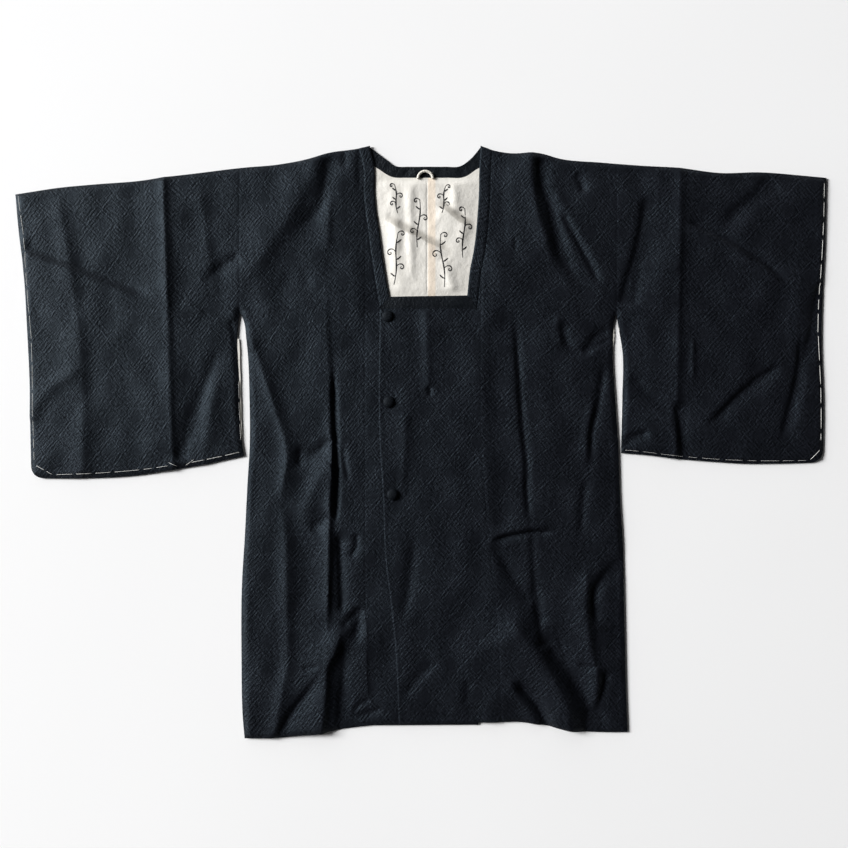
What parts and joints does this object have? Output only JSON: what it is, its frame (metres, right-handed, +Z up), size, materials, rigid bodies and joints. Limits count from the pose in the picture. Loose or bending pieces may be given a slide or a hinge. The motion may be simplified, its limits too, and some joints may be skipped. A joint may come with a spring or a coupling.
{
  "type": "michiyuki coat",
  "caption": "Square-necked kimono-style coat with wide sleeves and a buttoned front overlap, laid flat with its front up.",
  "frame": {"origin": "centre of the coat's outline, on the surface it lies on", "axes": "+X to the wearer's left along the sleeves, +Y toward the shoulders, +Z up, away from the surface"},
  "size_m": [1.32, 0.964, 0.0136],
  "materials": {
    "crepe": "blue-black silk crepe with a woven figure of nested chevrons and rhombuses, matt with a faint sheen",
    "collar_satin": "the same blue-black silk, folded double and pressed smooth",
    "lining_silk": "ivory plain-weave silk with soft creases and thin dark abstract curls",
    "loop_tape": "cream braided tape",
    "button_cover": "blue-black crepe stretched over a dome"
  },
  "bodies": {
    "root": {"body_right": "crepe", "body_left": "crepe", "sleeve_right": "crepe", "sleeve_left": "crepe", "overlap_right": "crepe", "overlap_left": "crepe", "collar_strip": "collar_satin", "collar_front": "collar_satin", "lining_right": "lining_silk", "lining_left": "lining_silk", "sleeve_lining_right": "lining_silk", "side_lining_left": "lining_silk", "hanging_loop": "loop_tape", "button_top": "button_cover", "button_middle": "button_cover", "button_bottom": "button_cover"}
  },
  "joints": []
}
